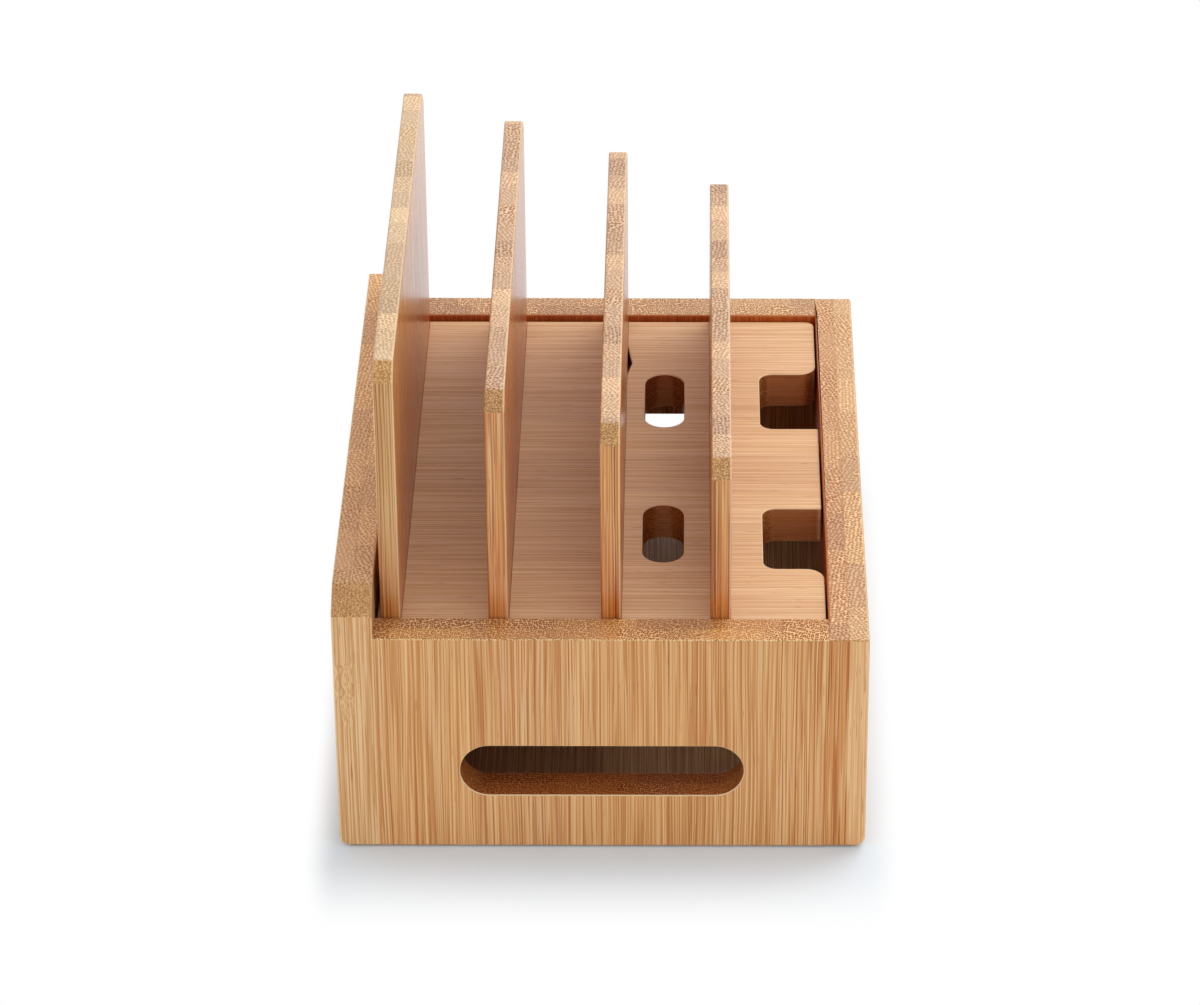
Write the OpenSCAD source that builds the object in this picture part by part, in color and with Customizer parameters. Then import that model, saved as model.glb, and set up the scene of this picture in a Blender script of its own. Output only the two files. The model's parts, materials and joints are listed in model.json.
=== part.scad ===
// Bamboo charging station organizer.
// An open box hides a charging hub, and a lift-off tray with four upright dividers
// stands the devices on top of it. X runs along the box, the front faces -Y and +Z is up.
// The origin is the centre of the footprint, on the surface that the box stands on.

/* [Box] */
// Length of the box, over the two side panels
box_length = 228; // [205:1:280]
// Depth of the box, over the front and back panels
box_depth = 172; // [168:1:200]
// Height of the front and side panels
wall_height = 80; // [70:1:110]
// How far the back panel rises above the other walls
back_rise = 15; // [8:1:30]
// Thickness of one bamboo ply in a wall
wall_ply = 6.5; // [6:0.1:7]
// Radius along the bottom outer edges of the front and back panels
edge_round = 3.5; // [1:0.1:5]
// Length of the slope at each end of the back panel's top
back_clip_length = 10; // [4:0.5:14]
// Drop of that slope
back_clip_drop = 6.5; // [3:0.5:8]

/* [Base] */
// Thickness of the base panel
base_ply = 6.5; // [5:0.1:8]
// Height of the base panel's underside above the walls' bottom edges
base_recess = 2; // [1:0.1:3]
// How deep the groove for the base panel goes into the walls
groove_depth = 3.5; // [2:0.1:4.5]
// Room above the base panel and beyond its edges in the groove
groove_room = 0.1; // [0.05:0.05:0.3]
// Diameter of a foot pad
pad_diameter = 12; // [8:0.5:16]
// How far the foot pads stand below the walls
pad_proud = 0.6; // [0.4:0.1:2]
// Distance from the inner walls to a foot pad's centre
pad_inset = 14; // [9:0.5:25]

/* [Cable slots] */
// Length of the slot in each side panel
cable_slot_length = 92; // [40:1:96]
// Height of the slot
cable_slot_height = 19; // [10:0.5:24]
// Height of the slot's centre above the walls' bottom edges
cable_slot_level = 29.5; // [24:0.5:36]

/* [Tray] */
// Thickness of one ply of the tray
tray_ply = 6.5; // [5:0.1:8]
// How far the tray's top lies below the side panels' top
tray_drop = 2; // [0:0.1:4]
// Mean gap between the tray's ends and the side panels
tray_end_gap = 0.8; // [0.5:0.1:1.5]
// Gap between the tray and the front and back panels
tray_side_gap = 0.65; // [0.3:0.05:1.5]
// How far the tray lies towards the left end of the box
tray_shift = 0.3; // [0:0.1:0.45]
// Radius of the tray's corners
tray_corner = 3; // [1:0.5:5]
// Width of a cleat that carries an end of the tray
cleat_width = 10; // [6:0.5:12]
// Height of a cleat
cleat_height = 12; // [8:0.5:13]
// Distance from a cleat's ends to the front and back panels
cleat_end_gap = 3; // [0.3:0.1:10]

/* [Tray openings] */
// Width of a cable hole between the two front dividers
hole_width = 13.6; // [8:0.2:18]
// Length of a cable hole
hole_length = 36.5; // [20:0.5:50]
// Distance between the centres of the two cable holes
hole_spacing = 88.5; // [60:0.5:110]
// How far the pair of holes lies towards the left end of the tray
hole_shift = 0.6; // [0:0.1:3]
// How far the holes lie behind the middle of their bay
hole_set_back = 1.2; // [0:0.1:3]
// Length of a cut-out in the tray's front edge
cutout_length = 38; // [20:0.5:50]
// Depth of a cut-out
cutout_depth = 19.8; // [10:0.1:22]
// Distance between the centres of the two cut-outs
cutout_spacing = 91.2; // [70:0.1:110]
// How far the pair of cut-outs lies towards the left end of the tray
cutout_shift = 2.3; // [0:0.1:4]
// Radius of a cut-out's inner corners
cutout_inner_round = 4.5; // [2:0.1:8]
// Radius of the outer corner at a cut-out's mouth
cutout_outer_round = 6; // [2:0.1:9]
// Length of the splintered spot beside the third divider
splinter_length = 18.5; // [5:0.5:25]
// Width of that spot
splinter_width = 1.6; // [0.5:0.1:3]
// Distance from the tray's right end to that spot
splinter_place = 18.5; // [10:0.5:40]

/* [Dividers] */
// Thickness of a divider
divider_ply = 6.5; // [5:0.1:8]
// Height of the back divider above the tray
divider_1_height = 93.5; // [60:0.5:120]
// Height of the second divider above the tray
divider_2_height = 83; // [50:0.5:110]
// Height of the third divider above the tray
divider_3_height = 71; // [40:0.5:100]
// Height of the front divider above the tray
divider_4_height = 58.5; // [30:0.5:90]
// Distance from the tray's back edge to the back divider
divider_inset = 1.3; // [0.5:0.1:3]
// Clear width between the first and second dividers
bay_1 = 28.2; // [20:0.1:29]
// Clear width between the second and third dividers
bay_2 = 29.7; // [20:0.1:30.5]
// Clear width between the third and fourth dividers
bay_3 = 28.8; // [20:0.1:29.6]
// Length of the slope at each top corner of a divider
divider_clip_length = 6.2; // [2:0.1:12]
// Drop of that slope
divider_clip_drop = 5.1; // [2:0.1:10]
// How deep each divider sits in the tray
divider_seat = 3; // [1:0.1:4]
// Room on each side of a divider in its seat
seat_room = 0.05; // [0.02:0.01:0.15]

/* [Fasteners] */
// Diameter of the wood screws' shanks
screw_diameter = 3; // [2:0.1:4]
// Diameter of the wood screws' heads
screw_head = 6; // [5:0.1:6.2]
// Length of a screw that holds a divider
divider_screw = 30; // [20:1:45]
// Distance between the screws under a divider
divider_screw_spacing = 76; // [50:1:88]
// Length of a screw that holds a cleat
cleat_screw = 15; // [13:0.5:16]
// Distance between the screws along a cleat
cleat_screw_spacing = 50; // [30:1:55]
// Diameter of the dowels in the corner joints
dowel_diameter = 4; // [3:0.1:5]
// Length of a dowel
dowel_length = 24; // [18:0.5:30]
// How deep a dowel goes into the front or back panel
dowel_bite = 9; // [7.5:0.1:11]
// Distance from a wall's top or bottom edge to the nearest dowel
dowel_margin = 13; // [12:0.5:16]
// Room around a shank or a dowel in its hole
hole_room = 0.03; // [0.01:0.01:0.1]

/* [Hidden] */

$fn = 64;
cut = 1;                 // how far a cut runs past the face that it opens
dowels_per_joint = 3;
screws_per_row = 3;
head_height = 2.2;       // countersunk head
tip_length = 4;
tip_diameter = 0.5;
recess_length = 3.4;     // cross recess in a screw's head
recess_width = 0.8;
recess_depth = 1.1;
splinter_peak = 0.62;    // where the splintered spot is widest, as a share of its length

// Walls
wall = 2 * wall_ply;
half_length = box_length / 2;
half_depth = box_depth / 2;
inner_length = box_length - 2 * wall;
inner_depth = box_depth - 2 * wall;
wall_bottom = pad_proud;
wall_top = wall_bottom + wall_height;

// Base
base_bottom = wall_bottom + base_recess;

// Tray
tray_top = wall_top - tray_drop;
tray_seam = tray_top - tray_ply;
tray_bottom = tray_top - 2 * tray_ply;
tray_length = inner_length - 2 * tray_end_gap;
tray_depth = inner_depth - 2 * tray_side_gap;
tray_front = -tray_depth / 2;
cleat_length = inner_depth - 2 * cleat_end_gap;

// Dividers, from the back one to the front one
heights = [divider_1_height, divider_2_height, divider_3_height, divider_4_height];
bays = [bay_1, bay_2, bay_3];
dividers = [0 : len(heights) - 1];
function bay_sum(count) = count == 0 ? 0 : bays[count - 1] + bay_sum(count - 1);
function divider_back(index) =
    tray_depth / 2 - divider_inset - index * divider_ply - bay_sum(index);
function divider_middle(index) = divider_back(index) - divider_ply / 2;
seat_floor = tray_top - divider_seat;
hole_y = divider_back(3) + bay_3 / 2 + hole_set_back; // between the two front dividers

// A stadium of the given length along X and height along Y
module stadium(length, height) {
    straight = length - height;
    square([straight, height], center = true);
    for (side = [-1, 1])
        translate([side * straight / 2, 0]) circle(d = height);
}

// A rectangle with four round corners, centred
module round_rectangle(length, depth, radius) {
    square([length - 2 * radius, depth], center = true);
    square([length, depth - 2 * radius], center = true);
    for (x = [-1, 1], y = [-1, 1])
        translate([x * (length / 2 - radius), y * (depth / 2 - radius)]) circle(radius);
}

// What is cut away to round off a corner that points to +X and -Y from the origin
module corner_waste(radius) {
    difference() {
        translate([-radius, -cut]) square([radius + cut, radius + cut]);
        translate([-radius, radius]) circle(radius);
    }
}

// The outline of an upright plate in X and Z, with a slope at each top corner
function clipped_outline(length, height, clip_length, clip_drop) = [
    [-length / 2, 0],
    [length / 2, 0],
    [length / 2, height - clip_drop],
    [length / 2 - clip_length, height],
    [-length / 2 + clip_length, height],
    [-length / 2, height - clip_drop]
];

// An upright plate along X, of one ply, whose back face is at Y = 0
module upright_plate(outline, ply) {
    rotate([90, 0, 0]) linear_extrude(ply) polygon(outline);
}

// Places its children at each dowel, with Z along the dowel and its panel end at the top
module at_dowels() {
    pitch = (wall_height - 2 * dowel_margin) / (dowels_per_joint - 1);
    for (x = [-1, 1], y = [-1, 1], row = [0 : dowels_per_joint - 1])
        translate([
            x * (inner_length + wall_ply) / 2,
            y * (inner_depth / 2 + dowel_bite),
            wall_bottom + dowel_margin + row * pitch
        ])
            rotate([y * 90, 0, 0]) children();
}

module dowel_holes() {
    at_dowels()
        translate([0, 0, -hole_room])
            cylinder(d = dowel_diameter + 2 * hole_room, h = dowel_length + 2 * hole_room);
}

// A countersunk wood screw along +Z, with its head's face at Z = 0
module wood_screw(length) {
    difference() {
        union() {
            cylinder(d1 = screw_head, d2 = screw_diameter, h = head_height);
            cylinder(d = screw_diameter, h = length - tip_length);
            translate([0, 0, length - tip_length])
                cylinder(d1 = screw_diameter, d2 = tip_diameter, h = tip_length);
        }
        for (turn = [0, 90])
            rotate([0, 0, turn])
                translate([-recess_length / 2, -recess_width / 2, -cut])
                    cube([recess_length, recess_width, recess_depth + cut]);
    }
}

// The hole for that screw
module screw_hole(length) {
    translate([0, 0, -hole_room])
        cylinder(d1 = screw_head + 4 * hole_room, d2 = screw_diameter + 2 * hole_room, h = head_height);
    cylinder(d = screw_diameter + 2 * hole_room, h = length + hole_room);
}

module at_divider_screws(index) {
    for (step = [0 : screws_per_row - 1])
        translate([
            -tray_shift + (step - (screws_per_row - 1) / 2) * divider_screw_spacing,
            divider_middle(index),
            tray_bottom
        ])
            children();
}

module at_cleat_screws(side) {
    for (step = [0 : screws_per_row - 1])
        translate([
            side * (inner_length / 2 - cleat_width),
            (step - (screws_per_row - 1) / 2) * cleat_screw_spacing,
            tray_bottom - cleat_height / 2
        ])
            rotate([0, side * 90, 0]) children();
}

// What rounds off the bottom outer edge of the back panel (side 1) or front panel (side -1)
module bottom_edge_waste(side) {
    rotate([0, 0, side > 0 ? 0 : 180])
        translate([0, half_depth, wall_bottom])
            rotate([90, 0, 90])
                linear_extrude(box_length + 2 * cut, center = true) corner_waste(edge_round);
}

// The groove that runs round the inner plies and holds the base panel
module base_groove() {
    translate([0, 0, base_bottom])
        linear_extrude(base_ply + groove_room)
            square([inner_length + 2 * groove_depth, inner_depth + 2 * groove_depth], center = true);
}

module cable_slots() {
    translate([0, 0, wall_bottom + cable_slot_level])
        rotate([90, 0, 90])
            linear_extrude(box_length + 2 * cut, center = true)
                stadium(cable_slot_length, cable_slot_height);
}

// In each wall, layer 0 is the outer ply and layer 1 the inner ply
module back_ply(layer) {
    difference() {
        translate([0, half_depth - layer * wall_ply, wall_bottom])
            upright_plate(
                clipped_outline(box_length, wall_height + back_rise, back_clip_length, back_clip_drop),
                wall_ply);
        bottom_edge_waste(1);
        base_groove();
        dowel_holes();
    }
}

module front_ply(layer) {
    difference() {
        translate([-half_length, -half_depth + layer * wall_ply, wall_bottom])
            cube([box_length, wall_ply, wall_height]);
        bottom_edge_waste(-1);
        base_groove();
        dowel_holes();
    }
}

module side_ply(side, layer) {
    middle = side * (half_length - (layer + 0.5) * wall_ply);
    difference() {
        translate([middle - wall_ply / 2, -inner_depth / 2, wall_bottom])
            cube([wall_ply, inner_depth, wall_height]);
        cable_slots();
        base_groove();
        dowel_holes();
        at_cleat_screws(side) screw_hole(cleat_screw);
    }
}

module cleat(side) {
    middle = side * (inner_length - cleat_width) / 2;
    difference() {
        translate([middle - cleat_width / 2, -cleat_length / 2, tray_bottom - cleat_height])
            cube([cleat_width, cleat_length, cleat_height]);
        at_cleat_screws(side) screw_hole(cleat_screw);
    }
}

// A cut-out in the tray's front edge. The corner of its mouth that faces the nearer
// end of the tray is round, and the other one is square.
module cutout(side) {
    half = cutout_length / 2;
    inner = cutout_inner_round;
    translate([side * cutout_spacing / 2 - cutout_shift - tray_shift, tray_front]) {
        translate([-half, -cut]) square([cutout_length, cutout_depth - inner + cut]);
        translate([-half + inner, -cut]) square([cutout_length - 2 * inner, cutout_depth + cut]);
        for (x = [-1, 1])
            translate([x * (half - inner), cutout_depth - inner]) circle(inner);
        if (side > 0)
            translate([half, 0]) mirror([1, 0]) corner_waste(cutout_outer_round);
        else
            translate([-half, 0]) corner_waste(cutout_outer_round);
    }
}

module tray_outline() {
    difference() {
        translate([-tray_shift, 0]) round_rectangle(tray_length, tray_depth, tray_corner);
        for (side = [-1, 1]) {
            translate([side * hole_spacing / 2 - hole_shift - tray_shift, hole_y])
                stadium(hole_length, hole_width);
            cutout(side);
        }
    }
}

// The seat for a divider, open at the tray's top and at both of its ends
module divider_seat_cut(index) {
    translate([-tray_shift, divider_middle(index), seat_floor])
        linear_extrude(divider_seat + cut)
            square([tray_length + 2 * cut, divider_ply + 2 * seat_room], center = true);
}

// A splinter is missing from the third seat's front edge
module splinter_cut() {
    deepest = splinter_peak * splinter_length;
    translate([
        tray_length / 2 - tray_shift - splinter_place,
        divider_back(2) - divider_ply,
        tray_seam - cut
    ])
        linear_extrude(tray_ply + 2 * cut)
            polygon([[0, 0], [-splinter_length, 0], [-deepest, -splinter_width]]);
}

module divider(index) {
    difference() {
        translate([-tray_shift, divider_back(index), seat_floor])
            upright_plate(
                clipped_outline(tray_length, divider_seat + heights[index],
                    divider_clip_length, divider_clip_drop),
                divider_ply);
        at_divider_screws(index) screw_hole(divider_screw);
    }
}

module back_panel_outer() {
    color("#d0a070") back_ply(0);
}

module back_panel_inner() {
    color("#d9ae7e") back_ply(1);
}

module front_panel_outer() {
    color("#d0a070") front_ply(0);
}

module front_panel_inner() {
    color("#d9ae7e") front_ply(1);
}

module left_panel_outer() {
    color("#cb9c62") side_ply(-1, 0);
}

module left_panel_inner() {
    color("#d9ae7e") side_ply(-1, 1);
}

module right_panel_outer() {
    color("#cb9c62") side_ply(1, 0);
}

module right_panel_inner() {
    color("#d9ae7e") side_ply(1, 1);
}

module base_panel() {
    tongue = groove_depth - groove_room;
    color("#a98058")
        translate([0, 0, base_bottom])
            linear_extrude(base_ply)
                square([inner_length + 2 * tongue, inner_depth + 2 * tongue], center = true);
}

module left_cleat() {
    color("#c79a66") cleat(-1);
}

module right_cleat() {
    color("#c79a66") cleat(1);
}

module cleat_screws() {
    color("#b9bcc0")
        for (side = [-1, 1])
            at_cleat_screws(side) wood_screw(cleat_screw);
}

module corner_dowels() {
    color("#e0c79a") at_dowels() cylinder(d = dowel_diameter, h = dowel_length);
}

// Four pads that stick to the base panel's underside
module foot_pads() {
    color("#3a3a3c")
        for (x = [-1, 1], y = [-1, 1])
            translate([x * (inner_length / 2 - pad_inset), y * (inner_depth / 2 - pad_inset), 0])
                cylinder(d = pad_diameter, h = base_bottom);
}

module tray_top_ply() {
    color("#e2b98c")
        difference() {
            translate([0, 0, tray_seam]) linear_extrude(tray_ply) tray_outline();
            for (index = dividers) {
                divider_seat_cut(index);
                at_divider_screws(index) screw_hole(divider_screw);
            }
            splinter_cut();
        }
}

module tray_bottom_ply() {
    color("#c99a6c")
        difference() {
            translate([0, 0, tray_bottom]) linear_extrude(tray_ply) tray_outline();
            for (index = dividers)
                at_divider_screws(index) screw_hole(divider_screw);
        }
}

module divider_1() {
    color("#dcb488") divider(0);
}

module divider_2() {
    color("#dcb488") divider(1);
}

module divider_3() {
    color("#dcb488") divider(2);
}

module divider_4() {
    color("#dcb488") divider(3);
}

module divider_screws() {
    color("#b9bcc0")
        for (index = dividers)
            at_divider_screws(index) wood_screw(divider_screw);
}

back_panel_outer();
back_panel_inner();
front_panel_outer();
front_panel_inner();
left_panel_outer();
left_panel_inner();
right_panel_outer();
right_panel_inner();
base_panel();
left_cleat();
right_cleat();
cleat_screws();
corner_dowels();
foot_pads();
tray_top_ply();
tray_bottom_ply();
divider_1();
divider_2();
divider_3();
divider_4();
divider_screws();
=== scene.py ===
"""Bamboo charging station organizer: finishes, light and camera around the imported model.

Everything is in metres, in the model's own frame: X along the box, the front faces -Y
and +Z is up. The bamboo's patterns are worked out in millimetres.
"""
import json
import math

import bmesh
import bpy
from mathutils import Matrix, Vector
from mathutils.bvhtree import BVHTree

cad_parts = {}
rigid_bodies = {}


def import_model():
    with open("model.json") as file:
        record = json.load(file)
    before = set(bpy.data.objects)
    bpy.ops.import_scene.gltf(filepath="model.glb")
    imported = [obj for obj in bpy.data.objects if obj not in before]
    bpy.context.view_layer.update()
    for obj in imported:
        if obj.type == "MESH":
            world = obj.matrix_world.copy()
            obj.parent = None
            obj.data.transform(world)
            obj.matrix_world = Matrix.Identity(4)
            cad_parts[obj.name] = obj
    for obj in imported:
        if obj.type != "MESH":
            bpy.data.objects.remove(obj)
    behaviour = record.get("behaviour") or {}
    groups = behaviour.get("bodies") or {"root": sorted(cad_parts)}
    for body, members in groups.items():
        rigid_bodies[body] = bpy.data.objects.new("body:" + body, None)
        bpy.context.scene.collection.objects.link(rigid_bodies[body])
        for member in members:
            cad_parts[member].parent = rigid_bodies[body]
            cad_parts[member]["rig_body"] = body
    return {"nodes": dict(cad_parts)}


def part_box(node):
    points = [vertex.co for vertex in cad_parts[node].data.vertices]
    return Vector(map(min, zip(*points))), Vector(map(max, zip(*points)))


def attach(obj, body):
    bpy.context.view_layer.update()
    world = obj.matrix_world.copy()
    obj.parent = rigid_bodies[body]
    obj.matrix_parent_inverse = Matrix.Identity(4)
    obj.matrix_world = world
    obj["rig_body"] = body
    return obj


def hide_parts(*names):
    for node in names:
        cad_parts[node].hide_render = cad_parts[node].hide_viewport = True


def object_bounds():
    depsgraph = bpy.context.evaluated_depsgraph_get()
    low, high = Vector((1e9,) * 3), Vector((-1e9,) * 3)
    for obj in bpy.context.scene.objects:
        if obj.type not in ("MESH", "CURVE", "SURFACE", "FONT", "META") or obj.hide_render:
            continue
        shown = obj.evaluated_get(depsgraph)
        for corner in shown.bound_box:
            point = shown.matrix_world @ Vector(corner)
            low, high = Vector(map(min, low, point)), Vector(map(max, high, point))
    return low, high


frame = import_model()
cad_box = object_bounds()
cad = frame["nodes"]
MM = 0.001

# Camera, as solved from the box's own straight edges
PHOTO_WIDTH = 1200
FOCAL_PIXELS = 4840.8
CENTRE_PIXEL = 688.46
CAMERA_AT = (-1.4154, -0.0279, 0.9146)
CAMERA_PITCH = 31.025
CAMERA_ROLL = 0.126
CAMERA_REACH = 20
SENSOR = 36

# Light. The softbox stands beyond the far end of the box and over its front panel, so the
# dividers shade the bays behind them, except at the bays' far ends
SURROUND_LIGHT = 0.86
LAMPS = (                    # name, place, size and watts
    ("softbox over the front", (0.72, -0.62, 1.45), (1.1, 1.1), 11.5),
    ("low fill by the camera", (-1.9, -0.3, 0.55), (1.2, 0.8), 0.7),
)
LAMPS_AIM = (0, 0, 0.05)
FLOOR_RADIUS = 6
FLOOR_DROP = 0.1 * MM        # below the pads, so that the two don't share a plane
FLOOR_COLOUR = "#f0f0f0"
FLOOR_GLOW = 0.06
SHADED_FLOOR = "#dbe4ec"     # a little blue, against the warm light from the box's own walls
SHADOW_REACH = (48 * MM, 12 * MM)    # along X and Y from the box, then plain white

# Edges
BOARD_ARRIS = 0.5 * MM       # sanded edge of a wall
INNER_ARRIS = 0.8 * MM       # rounder where the tray is lifted out
FRONT_ARRIS = 0.8 * MM       # and on the front, which is seen and touched
DIVIDER_ARRIS = 0.8 * MM     # the dividers are handled, so their edges are rounder
TRAY_ARRIS = 0.5 * MM
PAD_ARRIS = 0.5 * MM
ARRIS_SEGMENTS = 3
SEAM = 0.1 * MM              # what sanding leaves open along a glue line
SEAM_SAMPLES = (0.25, 0.5, 0.75)     # where along an edge its neighbours are looked for
TOUCH = 0.12 * MM            # nearer than this, an edge lies against its neighbour
SAME_POINT = 0.001 * MM
JOINT_STRIP = 1 * MM         # an edge's easing ends within this of a joint
SHARP = math.radians(25)
FASTENERS = ("corner_dowels", "cleat_screws", "divider_screws")

# Settings and sockets that many nodes share
ABSOLUTE = {"operation": "ABSOLUTE"}
ADD = {"operation": "ADD"}
SUBTRACT = {"operation": "SUBTRACT"}
MULTIPLY = {"operation": "MULTIPLY"}
DIVIDE = {"operation": "DIVIDE"}
MULTIPLY_ADD = {"operation": "MULTIPLY_ADD"}
MAXIMUM = {"operation": "MAXIMUM"}
LENGTH = {"operation": "LENGTH"}
SMOOTH = {"interpolation_type": "SMOOTHSTEP"}
IN_A_ROW = {"voronoi_dimensions": "1D"}
FADE_OUT = {"To Min": 1.0, "To Max": 0.0}
MOST_NOISE = {"From Min": 0.3, "From Max": 0.7}      # noise seldom leaves this stretch
MIX_NUMBERS = {"data_type": "FLOAT"}
UNDER_NUMBER = 2                     # the socket of the number that shows at a share of 0
OVER_NUMBER = 3                      # and at 1
MIX_COLOURS = {"data_type": "RGBA"}
TINT = {"data_type": "RGBA", "blend_type": "MULTIPLY"}
UNDER = 6                            # the socket of the colour that shows at a share of 0
OVER = 7                             # of the colour that covers or tints it at 1
MIXED = 2                            # and of the colour that comes out


def node(tree, kind, settings=(), inputs=(), out=0):
    """Adds a shader node with its settings and its inputs' values or links, and gives an output."""
    made = tree.nodes.new(kind)
    for name, value in dict(settings).items():
        setattr(made, name, value)
    for name, value in dict(inputs).items():
        if isinstance(value, bpy.types.NodeSocket):
            tree.links.new(value, made.inputs[name])
        else:
            made.inputs[name].default_value = value
    return made.outputs[out] if made.outputs else made


def linear(hex_colour):
    """An sRGB hex colour as the linear RGBA that a shader takes."""
    channels = [int(hex_colour[i:i + 2], 16) / 255 for i in (1, 3, 5)]
    return [c / 12.92 if c <= 0.04045 else ((c + 0.055) / 1.055) ** 2.4 for c in channels] + [1]


def blank_material(name):
    """A new material with an empty tree."""
    material = bpy.data.materials.new(name)
    material.use_nodes = True
    material.node_tree.nodes.clear()
    return material, material.node_tree


# Which of X, Y and Z a board's fibres follow, which lies across them, and its thickness
UPRIGHT_ALONG_X = (2, 0, 1)
UPRIGHT_ALONG_Y = (2, 1, 0)
FRONT_TO_BACK = (1, 0, 2)
END_TO_END = (0, 1, 2)

# Bamboo's strips and glue lines, in mm
SEED_STEP = (37.0, 53.0, 71.0)       # each board lies elsewhere in the pattern
STRIP_UNEVEN = 0.6                   # how unlike the strips' widths are, from 0 to 1
STEM_SHIFT = 900.0                   # strips are cut from places up to this far apart
GLUE_LINE = 0.25
GLUE_TONE = 0.86
LONG_TONE = 0.97                     # darkest strip along the fibres
PALEST_TONE = 1.04
HUE_TURN = {"To Min": 0.002, "To Max": 0.0035}       # along the fibres and in the end grain
HUE_MIDDLE = 0.5

# Run of the fibres, in mm
DRIFT_RATE = (0.05, 0.05, 0.02)      # turns per mm across, through and along the board
DRIFT_REACH = 0.25
KNUCKLE_ACROSS = 8.0                 # from its middle to where its curls end
KNUCKLE_ALONG = 17.0
KNUCKLE_EDGE = {"From Min": 0.3, "From Max": 1.0}    # as shares of that
CURL_RATE = (0.11, 0.11, 0.16)
CURL_REACH = 0.65

# Kinds of fibres: width and length in mm, where in its noise each begins and is full, the
# noise's detail, and a shift that keeps like widths from lining up
FIBRES = {
    "tone": ((4.0, 260.0), (0.34, 0.66), 1.0, 36.0),
    "fine": ((0.52, 55.0), (0.4, 0.6), 0.0, 36.0),
    "line": ((1.1, 45.0), (0.24, 0.52), 0.0, 36.0),
    "cream line": ((0.46, 60.0), (0.57, 0.67), 0.0, 90.0),
    "dark dash": ((0.5, 9.0), (0.74, 0.82), 0.0, 81.0),
}
FINE_SHARE = 0.92                    # of the body's colour, the rest is its wide tone
STREAKS = {"cream line": (0.5, "#f0cc9a"), "dark dash": (0.6, "#a8642e")}

# Amber lines, in mm and in shares of their spacing
LINE_SPACING = 0.85
LINE_UNEVEN = 0.9
LINE_SLANT = 0.83                    # they lie askew in the thickness, so every side shows them
LINE_EDGE = {"From Min": 0.12, "From Max": 0.32}
LINE_DEPTH = {"From Min": 0.15, "From Max": 0.85, "To Min": 0.2}     # the faintest show a fifth
PALE_TONE_LINES = 0.8                # the share of them that a board's pale stretches keep

# End grain, in mm and radians. The bundles of real bamboo lie closer, but wouldn't show
BUNDLE_WIDTH = 0.7                   # from one to the next across the board
BUNDLE_LENGTH = 1.25                 # and through its thickness
BUNDLE_UNEVEN = 0.55
SWIRL_WIDTH = 7.0
SWIRL_REACH = 1.1
STRIP_LEAN = 0.6
DOT_EDGE = {"From Min": 0.26, "From Max": 0.46}
DOT_GAIN = {"To Min": 0.65, "To Max": 1.15}          # faintest and strongest strip
TICK_EDGE = {"From Min": 0.45, "From Max": 0.68}     # the pale wood between the dots
TICK_STRENGTH = 0.8
TICK_COLOUR = "#f2cc98"
SLANT_SPACING = 0.6
SLANT_DOTS = {"From Min": 0.2, "From Max": 0.6, "To Min": 0.1, "To Max": 0.8}
SLANT_PALE = "#f6cc88"
SLANT_DOT = "#a86420"

# Which way a surface faces, as a share of squarely
BROAD_FACE = {"From Min": 0.8, "From Max": 0.95}
END_FACE = {"From Min": 0.3, "From Max": 0.5}
SQUARE_END = {"From Min": 0.8, "From Max": 0.97}
OPENING_WALL = {"From Min": 0.6, "From Max": 0.9}
INNER_FACE = {"From Min": 0.5, "From Max": 0.9}
ARRIS_START = {"From Min": 0.15, "From Max": 0.4}
ARRIS_END = {"From Min": 0.8, "From Max": 0.97}

# Painted shade and highlights, and the lacquer, in mm
OUTLINE_RIM = {"From Min": 0.8, "From Max": 1.6}     # this near its outline, no opening has edges
# Painted shade: the openings' walls, the dividers low down near the tray and the inside of the box
# near its top are coloured darker
OPENING_SHADE_COLOUR = "#d8ae90"
FOOT_SHADE_COLOUR = "#ecc6a0"
INSIDE_SHADE_COLOUR = "#d68e54"
INSIDE_SHADE_FULL = 10.0                  # the painted shade inside is fullest from its top to this far below
INSIDE_SHADE_THIN = 35.0                  # and from this far below its top it keeps the least
INSIDE_SHADE_LEAST = 0.35
BOX_CORNER = 0.4                     # the painted shade on the inner arrises fades over this at a corner of the box
# Painted highlight: arrises towards the open face are paler. Painted shade: the inner arrises by the
# tray are a darker orange
ARRIS_HIGHLIGHT_COLOUR = "#f6dcb0"
INNER_ARRIS_SHADE_COLOUR = "#c4763c"
FIBRE_END = {"From Min": 0.1, "From Max": 0.6}
PORE_DEPTH = 0.04
PORE_STRENGTH = 0.35                 # lacquer has partly filled them
LACQUER_ROUGHNESS = 0.24
LACQUER_IOR = 1.36                   # below the usual 1.5, to match the photo's soft gloss

# A board's finish, unless its own row says otherwise
PLAIN = {
    "strip_width": 24.0,             # flat strips of the stem are 20 to 28 mm wide
    "strip_tone": 0.82,              # darkest strip in the end grain
    "coarseness": 1.0,               # more where the real fibres are too fine to show
    "line_strength": 0.8,
    "face_lines": 1.0,               # share of that strength on the broad faces
    "knuckle": None,                 # centre of a knuckle of the stem
    "opening": False,                # whether the board has openings, whose walls get painted shade
    "face_shade_tint": None,             # painted shade on the broad faces: a tint that darkens them
    "foot": None,                    # height, in mm, up to which painted shade makes the board darker towards its foot
    "inner": None,                   # half the box's length or width inside, where the board looks in and gets painted shade on its inside face and inner arrises
    # share of the arris colour: a painted highlight, or round the inside a painted shade
    "arris_strength": 0.35,
    "rim_only": False,               # whether only the openings' arrises get the painted highlight all along
    "satin": (0.36, 0.48),           # roughness of pale and of tan fibres
    "coat": 0.12,
}


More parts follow.
